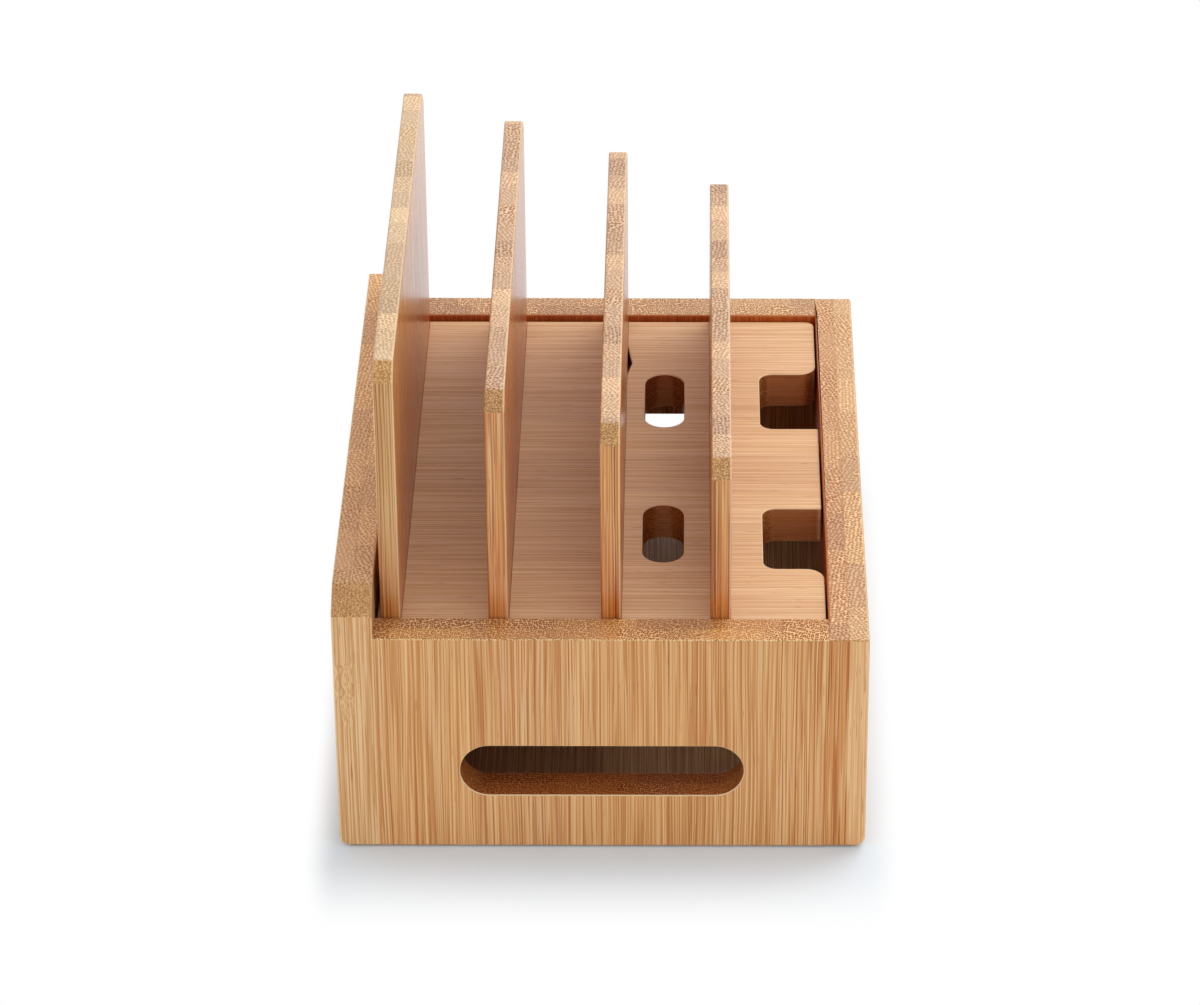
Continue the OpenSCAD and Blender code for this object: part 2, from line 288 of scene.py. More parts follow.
class Bamboo:
    """Laminated bamboo under satin lacquer, for one board. The fibres run straight along the
    board as fine cream and amber lines, in strips that each have their own tone, and where
    they are cut across, the end grain shows them as small brown dots. The lacquer gives a
    soft gloss."""

    def __init__(self, name, box, axes, seed, tones, open_side, special):
        self.material, self.tree = blank_material("satin bamboo " + name.replace("_", " "))
        self.pale, self.tan, self.amber, self.end_pale, self.end_dot = map(linear, tones)
        self.box = box
        self.axes = axes
        self.offset = [seed * step for step in SEED_STEP]
        self.open_side = open_side
        self.look = {**PLAIN, **special}
        self.find_place()
        self.lay_strips()
        self.run_fibres()
        self.draw_fibres()
        self.find_edges()
        lines = self.amber_lines()
        dots, end_grain = self.end_grain()
        colour = node(self.tree, "ShaderNodeMix", MIX_COLOURS, {
            0: self.end_share, UNDER: self.long_grain(lines), OVER: self.cut_grain(end_grain)},
            out=MIXED)
        colour = self.strip_tones(colour)
        colour = self.painted_shades(colour)
        colour = self.painted_arrises(colour)
        self.finish(colour, lines, dots)

    def pattern_mm(self, place, axis):
        """A place along one of the frame's axes, as the shifted millimetres of the pattern."""
        return place / MM + self.offset[axis]

    def find_place(self):
        """Where a point lies on the board, in mm, and which way the surface faces there."""
        tree = self.tree
        place = node(tree, "ShaderNodeTexCoord", out="Object")
        self.in_mm = node(tree, "ShaderNodeMapping", inputs={
            "Vector": place, "Location": self.offset, "Scale": (1 / MM, 1 / MM, 1 / MM)})
        split = node(tree, "ShaderNodeSeparateXYZ", inputs={0: self.in_mm}).node
        self.along, self.across, self.thick = (split.outputs[axis] for axis in self.axes)
        facing = node(tree, "ShaderNodeTexCoord", out="Normal")
        split = node(tree, "ShaderNodeSeparateXYZ", inputs={0: facing}).node
        self.to_end = node(tree, "ShaderNodeMath", ABSOLUTE, {0: split.outputs[self.axes[0]]})
        self.to_face = node(tree, "ShaderNodeMath", ABSOLUTE, {0: split.outputs[self.axes[2]]})
        self.to_open_face = self.to_face
        if self.open_side:
            self.to_open_face = node(tree, "ShaderNodeMath", MULTIPLY,
                                     {0: split.outputs[self.axes[2]], 1: self.open_side})
        self.broad_face = node(tree, "ShaderNodeMapRange", inputs={
            "Value": self.to_face, **BROAD_FACE})
        self.end_share = node(tree, "ShaderNodeMapRange", inputs={
            "Value": self.to_end, **END_FACE})

    def lay_strips(self):
        """Strips, each from another piece of the stem, and the glue between them."""
        tree = self.tree
        width = self.look["strip_width"]
        cells = {"W": self.across, "Scale": 1 / width, "Randomness": STRIP_UNEVEN}
        strip = node(tree, "ShaderNodeTexVoronoi", IN_A_ROW, cells, out="Color")
        randoms = node(tree, "ShaderNodeSeparateColor", inputs={0: strip}).node
        self.strip_random, self.lean_random, self.dot_random = randoms.outputs
        strip_edge = node(tree, "ShaderNodeTexVoronoi",
                          {**IN_A_ROW, "feature": "DISTANCE_TO_EDGE"}, cells)
        self.glue_line = node(tree, "ShaderNodeMapRange", inputs={
            "Value": strip_edge, "From Min": 0.0, "From Max": GLUE_LINE / width, **FADE_OUT})
        self.shift = node(tree, "ShaderNodeMath", MULTIPLY, {0: self.strip_random, 1: STEM_SHIFT})
        self.along_strip = node(tree, "ShaderNodeMath", ADD, {0: self.along, 1: self.shift})

    def stray(self, place, rate, reach, detail):
        """How far something strays from its place, up to about this reach either way."""
        noise = node(self.tree, "ShaderNodeTexNoise", inputs={
            "Vector": place, "Scale": rate, "Detail": detail})
        return node(self.tree, "ShaderNodeMapRange", inputs={
            "Value": noise, **MOST_NOISE, "To Min": -reach, "To Max": reach})

    def run_fibres(self):
        """Fibres wander very little, except round a knuckle of the stem."""
        tree = self.tree
        straight = node(tree, "ShaderNodeCombineXYZ", inputs={
            0: self.across, 1: self.thick, 2: self.along_strip})
        slow = node(tree, "ShaderNodeVectorMath", MULTIPLY, {0: straight, 1: DRIFT_RATE})
        drift = self.stray(slow, 1.0, DRIFT_REACH, 0.0)
        self.fibre_across = node(tree, "ShaderNodeMath", ADD, {0: self.across, 1: drift})
        self.fibre_deep = self.thick
        if self.look["knuckle"]:
            quick = node(tree, "ShaderNodeVectorMath", MULTIPLY, {0: straight, 1: CURL_RATE})
            curl = self.stray(quick, 1.0, CURL_REACH, 1.0)
            curl = node(tree, "ShaderNodeMath", MULTIPLY, {0: curl, 1: self.near_knuckle()})
            self.fibre_across = node(tree, "ShaderNodeMath", ADD, {0: self.fibre_across, 1: curl})
            self.fibre_deep = node(tree, "ShaderNodeMath", ADD, {0: self.thick, 1: curl})
        self.fibre_place = node(tree, "ShaderNodeCombineXYZ", inputs={
            0: self.fibre_across, 1: self.fibre_deep, 2: self.along_strip})

    def near_knuckle(self):
        """1 in the middle of the knuckle and 0 outside it."""
        tree = self.tree
        centre = [self.pattern_mm(place, axis) for axis, place in enumerate(self.look["knuckle"])]
        reach = [KNUCKLE_ACROSS] * 3
        reach[self.axes[0]] = KNUCKLE_ALONG
        away = node(tree, "ShaderNodeVectorMath", SUBTRACT, {0: self.in_mm, 1: centre})
        away = node(tree, "ShaderNodeVectorMath", DIVIDE, {0: away, 1: reach})
        away = node(tree, "ShaderNodeVectorMath", LENGTH, {0: away}, out="Value")
        return node(tree, "ShaderNodeMapRange", SMOOTH, {
            "Value": away, **KNUCKLE_EDGE, **FADE_OUT})

    def draw_fibres(self):
        """How much each kind of fibre shows, from wide tone to short dark dashes."""
        tree = self.tree
        self.shares = {}
        for kind, ((width, length), (low, high), detail, shift) in FIBRES.items():
            if kind != "tone":
                width *= self.look["coarseness"]
            at = node(tree, "ShaderNodeVectorMath", MULTIPLY_ADD, {
                0: self.fibre_place, 1: (1 / width, 1 / width, 1 / length), 2: (shift, 0, 0)})
            noise = node(tree, "ShaderNodeTexNoise", inputs={
                "Vector": at, "Scale": 1.0, "Detail": detail})
            self.shares[kind] = node(tree, "ShaderNodeMapRange", SMOOTH, {
                "Value": noise, "From Min": low, "From Max": high})

    def amber_lines(self):
        """Amber lines, just under 1 mm apart and nearly half as wide, some strong and some
        faint."""
        tree = self.tree
        place = node(tree, "ShaderNodeMath", MULTIPLY_ADD, {
            0: self.fibre_deep, 1: LINE_SLANT, 2: self.fibre_across})
        place = node(tree, "ShaderNodeMath", ADD, {0: place, 1: self.shift})
        cells = node(tree, "ShaderNodeTexVoronoi", IN_A_ROW, {
            "W": place, "Scale": 1 / LINE_SPACING / self.look["coarseness"],
            "Randomness": LINE_UNEVEN}).node
        share = node(tree, "ShaderNodeMapRange", SMOOTH, {
            "Value": cells.outputs["Distance"], **LINE_EDGE, **FADE_OUT})
        random = node(tree, "ShaderNodeSeparateColor", inputs={0: cells.outputs["Color"]})
        depth = node(tree, "ShaderNodeMapRange", inputs={"Value": random, **LINE_DEPTH})
        crowd = node(tree, "ShaderNodeMapRange", inputs={
            "Value": self.shares["tone"], "To Min": PALE_TONE_LINES})
        strength = self.look["line_strength"]
        strength = node(tree, "ShaderNodeMapRange", inputs={
            "Value": self.broad_face, "To Min": strength,
            "To Max": strength * self.look["face_lines"]})
        for factor in (depth, self.shares["line"], crowd, strength):
            share = node(tree, "ShaderNodeMath", MULTIPLY, {0: share, 1: factor})
        return share

    def long_grain(self, lines):
        """The colour along the fibres."""
        tree = self.tree
        share = node(tree, "ShaderNodeMix", MIX_NUMBERS, {
            0: FINE_SHARE, UNDER_NUMBER: self.shares["tone"], OVER_NUMBER: self.shares["fine"]})
        colour = node(tree, "ShaderNodeMix", MIX_COLOURS, {
            0: share, UNDER: self.pale, OVER: self.tan}, out=MIXED)
        colour = node(tree, "ShaderNodeMix", MIX_COLOURS, {
            0: lines, UNDER: colour, OVER: self.amber}, out=MIXED)
        for kind, (strength, streak_colour) in STREAKS.items():
            share = node(tree, "ShaderNodeMath", MULTIPLY, {0: self.shares[kind], 1: strength})
            colour = node(tree, "ShaderNodeMix", MIX_COLOURS, {
                0: share, UNDER: colour, OVER: linear(streak_colour)}, out=MIXED)
        return colour

    def end_grain(self):
        """Where the fibres are cut across, their bundles are dots in rows, which swirl a
        little and lean another way in each strip, with paler wood between them."""
        tree = self.tree
        place = node(tree, "ShaderNodeCombineXYZ", inputs={0: self.across, 1: self.thick})
        swirl = self.stray(place, 1 / SWIRL_WIDTH, SWIRL_REACH, 0.0)
        bent = node(tree, "ShaderNodeMath", ADD, {0: self.across, 1: swirl})
        place = node(tree, "ShaderNodeCombineXYZ", inputs={0: bent, 1: self.thick})
        lean = node(tree, "ShaderNodeMapRange", inputs={
            "Value": self.lean_random, "To Min": -STRIP_LEAN, "To Max": STRIP_LEAN})
        place = node(tree, "ShaderNodeVectorRotate", {"rotation_type": "Z_AXIS"},
                     {"Vector": place, "Angle": lean})
        place = node(tree, "ShaderNodeVectorMath", MULTIPLY,
                     {0: place, 1: (1 / BUNDLE_WIDTH, 1 / BUNDLE_LENGTH, 0)})
        bundles = node(tree, "ShaderNodeTexVoronoi", {"voronoi_dimensions": "2D"}, {
            "Vector": place, "Scale": 1.0, "Randomness": BUNDLE_UNEVEN}, out="Distance")
        gain = node(tree, "ShaderNodeMapRange", inputs={
            "Value": self.dot_random, **DOT_GAIN})
        dots = node(tree, "ShaderNodeMapRange", SMOOTH, {
            "Value": bundles, **DOT_EDGE, **FADE_OUT})
        dots = node(tree, "ShaderNodeMath", MULTIPLY, {0: dots, 1: gain})
        ticks = node(tree, "ShaderNodeMapRange", SMOOTH, {"Value": bundles, **TICK_EDGE})
        for factor in (gain, TICK_STRENGTH):
            ticks = node(tree, "ShaderNodeMath", MULTIPLY, {0: ticks, 1: factor})
        colour = node(tree, "ShaderNodeMix", MIX_COLOURS, {
            0: dots, UNDER: self.end_pale, OVER: self.end_dot}, out=MIXED)
        colour = node(tree, "ShaderNodeMix", MIX_COLOURS, {
            0: ticks, UNDER: colour, OVER: linear(TICK_COLOUR)}, out=MIXED)
        return dots, colour

    def cut_grain(self, end_grain):
        """End grain that is cut at a slant, as at the clipped corners, is coarser and
        yellower."""
        tree = self.tree
        slant = node(tree, "ShaderNodeMapRange", inputs={
            "Value": self.to_end, **SQUARE_END, **FADE_OUT})
        cells = node(tree, "ShaderNodeTexVoronoi", {"voronoi_dimensions": "3D"}, {
            "Vector": self.in_mm, "Scale": 1 / SLANT_SPACING}, out="Distance")
        dots = node(tree, "ShaderNodeMapRange", SMOOTH, {"Value": cells, **SLANT_DOTS})
        slanted = node(tree, "ShaderNodeMix", MIX_COLOURS, {
            0: dots, UNDER: linear(SLANT_PALE), OVER: linear(SLANT_DOT)}, out=MIXED)
        return node(tree, "ShaderNodeMix", MIX_COLOURS, {
            0: slant, UNDER: end_grain, OVER: slanted}, out=MIXED)

    def strip_tones(self, colour):
        """Each strip has its own tone, most of all where it is cut across, and the glue
        between strips is darker."""
        tree = self.tree
        darkest = node(tree, "ShaderNodeMapRange", inputs={
            "Value": self.end_share, "To Min": LONG_TONE, "To Max": self.look["strip_tone"]})
        gain = node(tree, "ShaderNodeMapRange", inputs={
            "Value": self.strip_random, "To Min": darkest, "To Max": PALEST_TONE})
        glue_gain = node(tree, "ShaderNodeMapRange", inputs={
            "Value": self.glue_line, "To Min": 1.0, "To Max": GLUE_TONE})
        gain = node(tree, "ShaderNodeMath", MULTIPLY, {0: gain, 1: glue_gain})
        reach = node(tree, "ShaderNodeMapRange", inputs={"Value": self.end_share, **HUE_TURN})
        turn = node(tree, "ShaderNodeMapRange", inputs={
            "Value": self.strip_random, "To Min": -1.0, "To Max": 1.0})
        hue = node(tree, "ShaderNodeMath", MULTIPLY_ADD, {0: turn, 1: reach, 2: HUE_MIDDLE})
        return node(tree, "ShaderNodeHueSaturation", inputs={
            "Color": colour, "Value": gain, "Hue": hue})

    def find_edges(self):
        """The arrises towards the open face, and what lies well inside the board's outline,
        where only openings have edges."""
        tree = self.tree
        rising = node(tree, "ShaderNodeMapRange", inputs={
            "Value": self.to_open_face, **ARRIS_START})
        falling = node(tree, "ShaderNodeMapRange", inputs={
            "Value": self.to_open_face, **ARRIS_END, **FADE_OUT})
        self.arris = node(tree, "ShaderNodeMath", MULTIPLY, {0: rising, 1: falling})
        if not self.look["opening"]:
            return
        middle = [self.pattern_mm((low + high) / 2, axis)
                  for axis, (low, high) in enumerate(zip(*self.box))]
        half = [(high - low) / 2 / MM for low, high in zip(*self.box)]
        away = node(tree, "ShaderNodeVectorMath", SUBTRACT, {0: self.in_mm, 1: middle})
        away = node(tree, "ShaderNodeVectorMath", ABSOLUTE, {0: away})
        margin = node(tree, "ShaderNodeVectorMath", SUBTRACT, {0: half, 1: away})
        margin = node(tree, "ShaderNodeSeparateXYZ", inputs={0: margin}).node
        nearest = node(tree, "ShaderNodeMath", {"operation": "MINIMUM"}, {
            0: margin.outputs[self.axes[0]], 1: margin.outputs[self.axes[1]]})
        self.inside = node(tree, "ShaderNodeMapRange", inputs={"Value": nearest, **OUTLINE_RIM})

    def painted_shades(self, colour):
        """Painted shade: the walls of openings are darkened, the broad faces may have a darker
        tint, the board is darker towards its foot, and round the inside of the box it is
        browner near its top."""
        tree = self.tree
        look = self.look
        shade_layers = []
        if look["opening"]:
            wall = node(tree, "ShaderNodeMapRange", inputs={
                "Value": self.to_face, **OPENING_WALL, **FADE_OUT})
            wall = node(tree, "ShaderNodeMath", MULTIPLY, {0: wall, 1: self.inside})
            shade_layers.append((wall, OPENING_SHADE_COLOUR))
        if look["face_shade_tint"]:
            shade_layers.append((self.broad_face, look["face_shade_tint"]))
        if look["foot"]:
            foot = self.pattern_mm(self.box[0][self.axes[0]], self.axes[0])
            foot_shade = node(tree, "ShaderNodeMapRange", inputs={
                "Value": self.along, "From Min": foot, "From Max": foot + look["foot"], **FADE_OUT})
            shade_layers.append((foot_shade, FOOT_SHADE_COLOUR))
        if look["inner"]:
            top = self.pattern_mm(self.box[1][self.axes[0]], self.axes[0])
            inside_shade_fade = node(tree, "ShaderNodeMapRange", inputs={
                "Value": self.along, "From Min": top - INSIDE_SHADE_THIN,
                "From Max": top - INSIDE_SHADE_FULL, "To Min": INSIDE_SHADE_LEAST})
            inner_face_shade = node(tree, "ShaderNodeMapRange", inputs={
                "Value": self.to_open_face, **INNER_FACE})
            inner_face_shade = node(tree, "ShaderNodeMath", MULTIPLY, {0: inner_face_shade, 1: inside_shade_fade})
            shade_layers.append((inner_face_shade, INSIDE_SHADE_COLOUR))
        for share, shade_colour in shade_layers:
            colour = node(tree, "ShaderNodeMix", TINT, {
                0: share, UNDER: colour, OVER: linear(shade_colour)}, out=MIXED)
        return colour

    def painted_arrises(self, colour):
        """Painted highlight: the arrises towards the open face are paler, but not at a glue
        line. Round the inside of the box they are browner instead, as painted shade, and along an
        outline with rim_only the painted highlight falls on just the ends of the pale fibres."""
        tree = self.tree
        look = self.look
        factors = []
        if look["inner"]:
            away = node(tree, "ShaderNodeMath", SUBTRACT,
                        {0: self.across, 1: self.offset[self.axes[1]]})
            away = node(tree, "ShaderNodeMath", ABSOLUTE, {0: away})
            corner = look["inner"] / MM
            factors.append(node(tree, "ShaderNodeMapRange", inputs={
                "Value": away, "From Min": corner - BOX_CORNER, "From Max": corner, **FADE_OUT}))
        factors.append(look["arris_strength"])
        if look["rim_only"]:
            dotted_highlight = node(tree, "ShaderNodeMapRange", inputs={
                "Value": self.shares["fine"], **FIBRE_END, **FADE_OUT})
            factors.append(node(tree, "ShaderNodeMix", MIX_NUMBERS, {
                0: self.inside, UNDER_NUMBER: dotted_highlight, OVER_NUMBER: 1.0}))
        share = self.arris
        for factor in factors:
            share = node(tree, "ShaderNodeMath", MULTIPLY, {0: share, 1: factor})
        arris_colour = INNER_ARRIS_SHADE_COLOUR if look["inner"] else ARRIS_HIGHLIGHT_COLOUR
        return node(tree, "ShaderNodeMix", MIX_COLOURS, {
            0: share, UNDER: colour, OVER: linear(arris_colour)}, out=MIXED)

    def finish(self, colour, lines, dots):
        """The lacquer's gloss over open pores: amber lines and bundles lie a little deeper."""
        tree = self.tree
        pores = node(tree, "ShaderNodeMix", MIX_NUMBERS, {
            0: self.end_share, UNDER_NUMBER: lines, OVER_NUMBER: dots})
        height = node(tree, "ShaderNodeMath", MULTIPLY, {0: pores, 1: -1.0})
        bump = node(tree, "ShaderNodeBump", inputs={
            "Strength": PORE_STRENGTH, "Distance": PORE_DEPTH * MM, "Height": height})
        low, high = self.look["satin"]
        gloss = node(tree, "ShaderNodeMapRange", inputs={
            "Value": self.shares["fine"], "To Min": low, "To Max": high})
        surface = node(tree, "ShaderNodeBsdfPrincipled", inputs={
            "Base Color": colour, "Roughness": gloss, "Normal": bump,
            "Coat Weight": self.look["coat"], "Coat Roughness": LACQUER_ROUGHNESS,
            "IOR": LACQUER_IOR})
        node(tree, "ShaderNodeOutputMaterial", inputs={0: surface})


def merged_shell(name, joints):
    """A CAD node's loose triangles as one closed shell, cut across at these places along X
    and at their mirror images, so that an edge can be eased up to there."""
    shell = bmesh.new()
    shell.from_mesh(cad[name].data)
    bmesh.ops.remove_doubles(shell, verts=shell.verts, dist=SAME_POINT)
    for joint in joints:
        for side in (-1, 1):
            whole = shell.verts[:] + shell.edges[:] + shell.faces[:]
            bmesh.ops.bisect_plane(shell, geom=whole, dist=SAME_POINT,
                                   plane_co=(side * joint, 0, 0), plane_no=(1, 0, 0))
    return shell


def search_tree(mesh):
    """A mesh's triangles, sorted so that the nearest to a point is found at once."""
    triangles = bmesh.new()
    triangles.from_mesh(mesh)
    tree = BVHTree.FromBMesh(triangles)
    triangles.free()
    return tree


neighbours = {name: search_tree(cad_object.data) for name, cad_object in cad.items()}
boards_and_pads = [name for name in cad if name not in FASTENERS]


def touching(name, point, others):
    """Whether one of the other CAD nodes comes up to this point."""
    return any(neighbours[other].find_nearest(point, TOUCH)[0] is not None
               for other in others if other != name)


def edge_weight(name, edge, arris):
    """How far an edge is eased, as a share of the arris: fully where it is free, hardly
    along a glue line, and not at all around a screw or dowel."""
    start, end = (corner.co for corner in edge.verts)
    if touching(name, start.lerp(end, 0.5), FASTENERS):
        return 0
    seams = sum(touching(name, start.lerp(end, share), boards_and_pads) for share in SEAM_SAMPLES)
    return SEAM / arris if seams > 1 else 1


def eased(name, arris, material, joints=()):
    """A piece with the CAD node's shape and sanded edges, which stands for that node."""
    shell = merged_shell(name, joints)
    weights = shell.edges.layers.float.new("bevel_weight_edge")
    for face in shell.faces:
        face.smooth = True
    for edge in shell.edges:
        if edge.calc_face_angle(0) > SHARP:
            edge[weights] = edge_weight(name, edge, arris)
            edge.smooth = edge[weights] > 0
    rough = bpy.data.meshes.new(name + "_shell")
    shell.to_mesh(rough)
    shell.free()
    maker = bpy.data.objects.new(name + "_maker", rough)
    bpy.context.scene.collection.objects.link(maker)
    bevel = maker.modifiers.new("arris", "BEVEL")
    bevel.limit_method = "WEIGHT"
    bevel.width = arris
    bevel.segments = ARRIS_SEGMENTS
    bevel.use_clamp_overlap = False
    bevel.loop_slide = False
    flats = maker.modifiers.new("flats", "WEIGHTED_NORMAL")
    flats.mode = "FACE_AREA"
    flats.weight = 100
    flats.keep_sharp = True
    evaluated = maker.evaluated_get(bpy.context.evaluated_depsgraph_get())
    mesh = bpy.data.meshes.new_from_object(evaluated)
    bpy.data.objects.remove(maker)
    mesh.name = name + "_board"
    mesh.materials.clear()
    mesh.materials.append(material)
    piece = bpy.data.objects.new(name + "_board", mesh)
    bpy.context.scene.collection.objects.link(piece)
    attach(piece, cad[name]["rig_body"])
    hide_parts(name)


# Places in the box
BOX_END = cad_box[0][0]
BOX_BACK = cad_box[1][1]
INSIDE_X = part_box("right_panel_inner")[0][0]
INSIDE_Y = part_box("back_panel_inner")[0][1]
KNUCKLE = (BOX_END, BOX_BACK - 5 * MM, 61 * MM)
JOINTS = {                   # where a side panel meets these boards, and just before that
    name: (INSIDE_X, INSIDE_X - JOINT_STRIP)
    for name in ("front_panel_inner", "back_panel_inner")
}

# Colours of pale and tan fibres, amber lines, end grain and the dots in it
BACK_TONES = ("#eac492", "#cf9c5e", "#c07e40", "#f6c894", "#b47632")
FRONT_OUTER_TONES = ("#e8bc8a", "#d8a46c", "#c58648", "#e4be92", "#ae6c26")
FRONT_INNER_TONES = ("#d89c5c", "#b87232", "#a35a22", "#dcac80", "#a05a18")
NEAR_SIDE_TONES = ("#deab70", "#c68a4e", "#a45014", "#e8aa66", "#884404")
NEAR_INNER_TONES = ("#e4ae74", "#c68242", "#a85820", "#dc9c5a", "#7c3c04")
FAR_SIDE_TONES = ("#eabc80", "#d0944e", "#b26a2c", "#d4aa80", "#9a581c")
TRAY_TONES = ("#e5bc92", "#d6a87a", "#be8448", "#dcae7c", "#b27e4a")
FIRST_DIVIDER_TONES = ("#dcac70", "#c98e4a", "#ac6c2e", "#eacca6", "#b88442")
DIVIDER_TONES = ("#dea05e", "#bd7836", "#84400e", "#ecc49c", "#9e5818")
BASE_TONES = ("#c49a6e", "#b08356", "#946540", "#b88c60", "#8c6038")

# Finishes that differ from the plain one. The tray's fibres are too fine to show, so they
# are drawn coarser, and the dividers are of narrower strips
SLOTTED = {"opening": True, "arris_strength": 0.85, "rim_only": True, "line_strength": 0.68}
KNUCKLED = {"knuckle": KNUCKLE, "line_strength": 0.7}
FRONT_INSIDE = {"inner": INSIDE_X, "arris_strength": 0.8}
FAR_INSIDE = {"inner": INSIDE_Y, "arris_strength": 0.8, "opening": True}
TRAY = {"opening": True, "satin": (0.46, 0.58), "arris_strength": 0.8, "line_strength": 0.4,
        "coarseness": 1.2}
# The dividers' broad faces get a darker tint, and they are darker towards the foot: both painted
# shade
SHINY = {"satin": (0.24, 0.34), "coat": 0.45, "arris_strength": 0.45, "line_strength": 1.2,
         "face_lines": 0.6, "face_shade_tint": "#ffe8c8", "strip_width": 12.0, "strip_tone": 0.7,
         "foot": 45.0}

# Name, arris, axes, tones, which way its face is open (0 for both; on the dividers, the side towards
# the main light, whose arrises get the painted highlight) and what's special
BOARDS = (
    ("back_panel_outer", BOARD_ARRIS, UPRIGHT_ALONG_X, BACK_TONES, 1, KNUCKLED),
    ("back_panel_inner", BOARD_ARRIS, UPRIGHT_ALONG_X, BACK_TONES, -1, {}),
    ("front_panel_outer", FRONT_ARRIS, UPRIGHT_ALONG_X, FRONT_OUTER_TONES, -1, {}),
    ("front_panel_inner", INNER_ARRIS, UPRIGHT_ALONG_X, FRONT_INNER_TONES, 1, FRONT_INSIDE),
    ("left_panel_outer", BOARD_ARRIS, UPRIGHT_ALONG_Y, NEAR_SIDE_TONES, -1, SLOTTED),
    ("left_panel_inner", BOARD_ARRIS, UPRIGHT_ALONG_Y, NEAR_INNER_TONES, 1, SLOTTED),
    ("right_panel_outer", BOARD_ARRIS, UPRIGHT_ALONG_Y, FAR_SIDE_TONES, 1, SLOTTED),
    ("right_panel_inner", INNER_ARRIS, UPRIGHT_ALONG_Y, FAR_SIDE_TONES, -1, FAR_INSIDE),
    ("base_panel", BOARD_ARRIS, END_TO_END, BASE_TONES, 0, {}),
    ("left_cleat", BOARD_ARRIS, FRONT_TO_BACK, TRAY_TONES, 0, {}),
    ("right_cleat", BOARD_ARRIS, FRONT_TO_BACK, TRAY_TONES, 0, {}),
    ("tray_top_ply", TRAY_ARRIS, FRONT_TO_BACK, TRAY_TONES, 1, TRAY),
    ("tray_bottom_ply", TRAY_ARRIS, FRONT_TO_BACK, TRAY_TONES, -1, TRAY),
    ("divider_1", DIVIDER_ARRIS, UPRIGHT_ALONG_X, FIRST_DIVIDER_TONES, -1, SHINY),
    ("divider_2", DIVIDER_ARRIS, UPRIGHT_ALONG_X, DIVIDER_TONES, -1, SHINY),
    ("divider_3", DIVIDER_ARRIS, UPRIGHT_ALONG_X, DIVIDER_TONES, -1, SHINY),
    ("divider_4", DIVIDER_ARRIS, UPRIGHT_ALONG_X, DIVIDER_TONES, -1, SHINY),
)
for seed, (name, arris, axes, tones, open_side, special) in enumerate(BOARDS, start=1):
    bamboo = Bamboo(name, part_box(name), axes, seed, tones, open_side, special)
    eased(name, arris, bamboo.material, JOINTS.get(name, ()))

# Grain of the small pieces' finishes
TURNING_MARK = 0.4 * MM
SPARK_GRAIN = 0.5 * MM
BEECH_FLECK = (0.5 * MM, 4 * MM, 0.5 * MM)           # the dowels lie along Y


def zinc_plate():
    """Bright zinc plated steel screws: a bluish grey metal with fine turning marks."""
    material, tree = blank_material("bright zinc plated steel")
    place = node(tree, "ShaderNodeTexCoord", out="Object")
    marks = node(tree, "ShaderNodeTexNoise", inputs={
        "Vector": place, "Scale": 1 / TURNING_MARK, "Detail": 3.0})
    colour = node(tree, "ShaderNodeMix", MIX_COLOURS, {
        0: marks, UNDER: linear("#b4b8bd"), OVER: linear("#d2d5d8")}, out=MIXED)
    gloss = node(tree, "ShaderNodeMapRange", inputs={
        "Value": marks, "To Min": 0.25, "To Max": 0.42})
    bump = node(tree, "ShaderNodeBump", inputs={
        "Strength": 0.2, "Distance": 0.01 * MM, "Height": marks})
    surface = node(tree, "ShaderNodeBsdfPrincipled", inputs={
        "Base Color": colour, "Metallic": 1.0, "Roughness": gloss, "Normal": bump})
    node(tree, "ShaderNodeOutputMaterial", inputs={0: surface})
    return material


def moulded_rubber():
    """Black moulded rubber pads: matt, with a fine spark-eroded grain."""
    material, tree = blank_material("black moulded rubber")
    place = node(tree, "ShaderNodeTexCoord", out="Object")
    grain = node(tree, "ShaderNodeTexNoise", inputs={
        "Vector": place, "Scale": 1 / SPARK_GRAIN, "Detail": 2.0})
    colour = node(tree, "ShaderNodeMix", MIX_COLOURS, {
        0: grain, UNDER: linear("#232325"), OVER: linear("#303033")}, out=MIXED)
    bump = node(tree, "ShaderNodeBump", inputs={
        "Strength": 0.4, "Distance": 0.03 * MM, "Height": grain})
    surface = node(tree, "ShaderNodeBsdfPrincipled", inputs={
        "Base Color": colour, "Roughness": 0.75, "Normal": bump})
    node(tree, "ShaderNodeOutputMaterial", inputs={0: surface})
    return material


def turned_beech():
    """Plain turned beech dowels: pale pinkish wood with short dark flecks along the grain."""
    material, tree = blank_material("turned beech")
    place = node(tree, "ShaderNodeTexCoord", out="Object")
    in_flecks = node(tree, "ShaderNodeVectorMath", MULTIPLY, {
        0: place, 1: [1 / size for size in BEECH_FLECK]})
    flecks = node(tree, "ShaderNodeTexNoise", inputs={
        "Vector": in_flecks, "Scale": 1.0, "Detail": 2.0})
    share = node(tree, "ShaderNodeMapRange", inputs={
        "Value": flecks, "From Min": 0.45, "From Max": 0.7})
    colour = node(tree, "ShaderNodeMix", MIX_COLOURS, {
        0: share, UNDER: linear("#dcb98c"), OVER: linear("#b98a5c")}, out=MIXED)
    surface = node(tree, "ShaderNodeBsdfPrincipled", inputs={
        "Base Color": colour, "Roughness": 0.6})
    node(tree, "ShaderNodeOutputMaterial", inputs={0: surface})
    return material


eased("foot_pads", PAD_ARRIS, moulded_rubber())
plated = zinc_plate()
for name, finish in (("divider_screws", plated), ("cleat_screws", plated),
                     ("corner_dowels", turned_beech())):
    cad[name].data.materials.clear()
    cad[name].data.materials.append(finish)


def seen_rays(tree):
    """1 for what the camera sees, also in a gloss or through glass, and 0 for other light."""
    rays = node(tree, "ShaderNodeLightPath").node.outputs
    seen = rays["Is Camera Ray"]
    for other in ("Is Glossy Ray", "Is Transmission Ray"):
        seen = node(tree, "ShaderNodeMath", MAXIMUM, {0: seen, 1: rays[other]})
    return seen


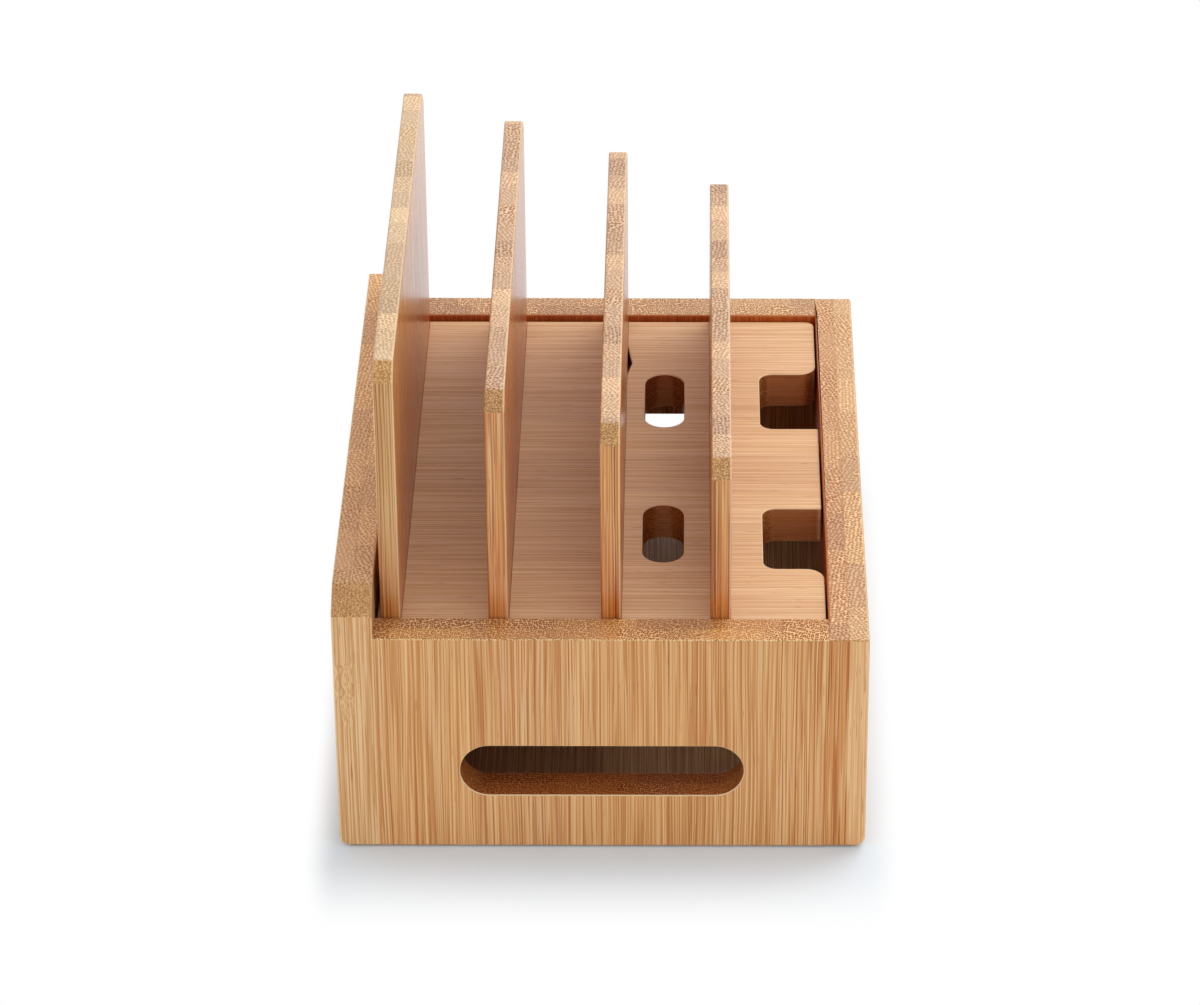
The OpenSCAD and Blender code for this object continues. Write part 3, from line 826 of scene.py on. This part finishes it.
def studio_floor():
    """A pale seamless floor. The camera and glossy surfaces see it as a white sweep that
    keeps the object's shadow."""
    material, tree = blank_material("pale studio floor")
    lit = node(tree, "ShaderNodeBsdfDiffuse", inputs={"Color": linear(FLOOR_COLOUR)})
    near = node(tree, "ShaderNodeBsdfDiffuse", inputs={"Color": linear(SHADED_FLOOR)})
    glow = node(tree, "ShaderNodeEmission", inputs={"Color": (1, 1, 1, 1), "Strength": FLOOR_GLOW})
    near = node(tree, "ShaderNodeAddShader", inputs={0: near, 1: glow})
    far = node(tree, "ShaderNodeEmission", inputs={"Color": (1, 1, 1, 1), "Strength": 1.0})
    place = node(tree, "ShaderNodeTexCoord", out="Object")
    away = node(tree, "ShaderNodeVectorMath", ABSOLUTE, {0: place})
    away = node(tree, "ShaderNodeVectorMath", SUBTRACT,
                {0: away, 1: (cad_box[1][0], cad_box[1][1], 0)})
    away = node(tree, "ShaderNodeVectorMath", MAXIMUM, {0: away, 1: (0, 0, 0)})
    away = node(tree, "ShaderNodeVectorMath", DIVIDE, {0: away, 1: (*SHADOW_REACH, 1)})
    away = node(tree, "ShaderNodeVectorMath", LENGTH, {0: away}, out="Value")
    distance = node(tree, "ShaderNodeMapRange", SMOOTH, {"Value": away})
    sweep = node(tree, "ShaderNodeMixShader", inputs={0: distance, 1: near, 2: far})
    surface = node(tree, "ShaderNodeMixShader", inputs={0: seen_rays(tree), 1: lit, 2: sweep})
    node(tree, "ShaderNodeOutputMaterial", inputs={0: surface})
    return material


def floor():
    """The surface that the box stands on."""
    mesh = bpy.data.meshes.new("floor")
    shape = bmesh.new()
    bmesh.ops.create_circle(shape, cap_ends=True, segments=64, radius=FLOOR_RADIUS)
    bmesh.ops.translate(shape, verts=shape.verts, vec=(0, 0, -FLOOR_DROP))
    shape.to_mesh(mesh)
    shape.free()
    mesh.materials.append(studio_floor())
    surface = bpy.data.objects.new("floor", mesh)
    bpy.context.scene.collection.objects.link(surface)


def surroundings():
    """White all round, a little darker as light than it looks."""
    world = bpy.data.worlds.new("white studio")
    bpy.context.scene.world = world
    world.use_nodes = True
    tree = world.node_tree
    tree.nodes.clear()
    strength = node(tree, "ShaderNodeMapRange", inputs={
        "Value": seen_rays(tree), "To Min": SURROUND_LIGHT, "To Max": 1.0})
    sky = node(tree, "ShaderNodeBackground", inputs={
        "Color": (1, 1, 1, 1), "Strength": strength})
    node(tree, "ShaderNodeOutputWorld", inputs={0: sky})


def lamp(name, place, size, watts):
    """A large soft lamp that looks at the object."""
    light = bpy.data.lights.new(name, "AREA")
    light.shape = "RECTANGLE"
    light.size, light.size_y = size
    light.energy = watts
    stand = bpy.data.objects.new(name, light)
    stand.location = place
    aim = Vector(LAMPS_AIM) - Vector(place)
    stand.rotation_euler = aim.to_track_quat("-Z", "Y").to_euler()
    bpy.context.scene.collection.objects.link(stand)


def camera():
    """The photograph's view: from beyond the near side panel, looking down along +X."""
    lens = bpy.data.cameras.new("camera")
    lens.sensor_fit = "HORIZONTAL"
    lens.sensor_width = SENSOR
    lens.lens = FOCAL_PIXELS / PHOTO_WIDTH * SENSOR
    lens.shift_x = (PHOTO_WIDTH / 2 - CENTRE_PIXEL) / PHOTO_WIDTH
    lens.clip_end = CAMERA_REACH
    body = bpy.data.objects.new("camera", lens)
    turn = (Matrix.Rotation(math.radians(-90), 4, "Z")
            @ Matrix.Rotation(math.radians(90 - CAMERA_PITCH), 4, "X")
            @ Matrix.Rotation(math.radians(CAMERA_ROLL), 4, "Z"))
    body.matrix_world = Matrix.Translation(CAMERA_AT) @ turn
    bpy.context.scene.collection.objects.link(body)
    bpy.context.scene.camera = body


floor()
surroundings()
for name, place, size, watts in LAMPS:
    lamp(name, place, size, watts)
camera()
bpy.context.scene.view_settings.view_transform = "Standard"
bpy.context.view_layer.update()
